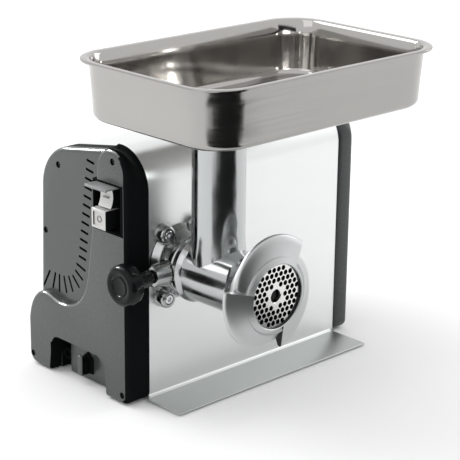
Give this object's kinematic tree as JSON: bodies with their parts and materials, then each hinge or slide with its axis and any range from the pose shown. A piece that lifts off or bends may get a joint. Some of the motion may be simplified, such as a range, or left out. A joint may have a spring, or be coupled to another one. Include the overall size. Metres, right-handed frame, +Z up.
{
  "type": "electric meat grinder",
  "caption": "Table-top electric meat grinder: steel-wrapped drive between plastic end covers, clamped grinder head with winged ring nut and a lift-off tray.",
  "frame": {"origin": "on the resting plane, under the middle of the bounding box", "axes": "+Z up, -Y the way the grinder head points, +X from the switch side to the plain end"},
  "size_m": [0.356, 0.319, 0.352],
  "materials": {
    "satin_steel": "fine satin brushed stainless steel",
    "zinc_steel": "bright zinc plated steel",
    "grey_plastic": "fine moulded texture",
    "black_plastic": "smooth moulded",
    "light_plastic": "smooth grey",
    "white_plastic": "smooth white",
    "cast_alloy": "as cast",
    "cast_alloy_fine": "fine blasted casting",
    "polished_alloy": "polished casting",
    "bearing_steel": "ground",
    "gear_steel": "machined",
    "rotor_laminations": "stacked sheet with cast bars",
    "stator_laminations": "stacked sheet, varnished",
    "capacitor_case": "drawn can",
    "gloss_black": "glossy",
    "polished_steel": "polished stainless steel",
    "cast_steel": "cast stainless steel",
    "washer_nylon": "natural nylon",
    "blade_steel": "ground",
    "plate_steel": "ground",
    "tray_steel": "bright inside, satin outside",
    "black_screw": "black oxide",
    "foot_rubber": "matt"
  },
  "bodies": {
    "housing": {"left_cover": "grey_plastic", "right_cover": "grey_plastic", "left_cover_screw_1": "black_screw", "left_cover_screw_2": "black_screw", "left_cover_screw_3": "black_screw", "left_cover_screw_4": "black_screw", "left_cover_screw_5": "black_screw", "right_cover_screw_1": "black_screw", "rubber_foot_1": "foot_rubber", "hub_screw_1": "zinc_steel", "right_cover_screw_2": "black_screw", "rubber_foot_2": "foot_rubber", "hub_screw_2": "zinc_steel", "right_cover_screw_3": "black_screw", "rubber_foot_3": "foot_rubber", "hub_screw_3": "zinc_steel", "right_cover_screw_4": "black_screw", "rubber_foot_4": "foot_rubber", "hub_screw_4": "zinc_steel", "steel_wrapper": "satin_steel", "base_plate": "zinc_steel", "cord_hook": "grey_plastic", "cable_gland": "black_plastic", "switch_body": "black_plastic", "switch_visor": "light_plastic", "gear_case": "cast_alloy", "gear_case_lid": "cast_alloy", "output_bearing_front": "bearing_steel", "output_bearing_rear": "bearing_steel", "motor_stator": "stator_laminations", "motor_bell_front": "cast_alloy", "motor_bell_rear": "cast_alloy", "rotor_bearing_front": "bearing_steel", "rotor_bearing_rear": "bearing_steel", "motor_cradle": "zinc_steel", "run_capacitor": "capacitor_case", "neck_hub": "polished_alloy"},
    "rotor": {"rotor_core": "rotor_laminations", "rotor_shaft": "gear_steel", "cooling_fan": "black_plastic"},
    "idler": {"idler_gear": "gear_steel", "idler_shaft": "gear_steel"},
    "output": {"output_gear": "gear_steel", "output_shaft": "gear_steel"},
    "start_key": {"start_button": "white_plastic"},
    "stop_key": {"stop_button": "white_plastic"},
    "knob": {"clamp_knob": "gloss_black", "clamp_screw": "zinc_steel"},
    "head": {"grinder_head": "polished_steel", "thrust_washer": "washer_nylon", "plate_key": "gear_steel", "grinding_plate": "plate_steel"},
    "screw_feed": {"feed_screw": "cast_steel", "knife": "blade_steel"},
    "nut": {"ring_nut": "cast_alloy_fine"},
    "meat_tray": {"tray": "tray_steel"}
  },
  "joints": [
    {"name": "motor_spin", "type": "hinge", "parent": "housing", "child": "rotor", "pos_m": [0.01975, 0.0855, 0.1385], "axis": [0, 1, 0], "continuous": true},
    {"name": "idler_spin", "type": "hinge", "parent": "housing", "child": "idler", "pos_m": [-0.02675, 0.0215, 0.1385], "axis": [0, 1, 0], "continuous": true},
    {"name": "output_spin", "type": "hinge", "parent": "housing", "child": "output", "pos_m": [-0.074, 0.0215, 0.1385], "axis": [0, 1, 0], "continuous": true},
    {"name": "head_pull", "type": "slide", "parent": "housing", "child": "head", "axis": [0, -1, 0], "range_m": [0, 0.06]},
    {"name": "feed_spin", "type": "hinge", "parent": "head", "child": "screw_feed", "pos_m": [-0.074, -0.0685, 0.1385], "axis": [0, 1, 0], "continuous": true},
    {"name": "ring_nut_turn", "type": "hinge", "parent": "head", "child": "nut", "pos_m": [-0.074, -0.1365, 0.1385], "axis": [0, -1, 0], "range_deg": [0, 1080]},
    {"name": "tray_lift", "type": "slide", "parent": "head", "child": "meat_tray", "axis": [0, 0, 1], "range_m": [0, 0.06]},
    {"name": "clamp_knob_turn", "type": "hinge", "parent": "housing", "child": "knob", "pos_m": [-0.164, -0.0175, 0.1385], "axis": [-1, 0, 0], "range_deg": [0, 720]},
    {"name": "start_press", "type": "slide", "parent": "housing", "child": "start_key", "axis": [1, 0, 0], "range_m": [0, 0.003], "stiffness_N_per_m": 400},
    {"name": "stop_press", "type": "slide", "parent": "housing", "child": "stop_key", "axis": [1, 0, 0], "range_m": [0, 0.003], "stiffness_N_per_m": 400}
  ],
  "couplings": [
    {"joint": "idler_spin", "follows": "motor_spin", "ratio": -0.29167},
    {"joint": "output_spin", "follows": "motor_spin", "ratio": 0.10208},
    {"joint": "feed_spin", "follows": "motor_spin", "ratio": 0.10208}
  ]
}
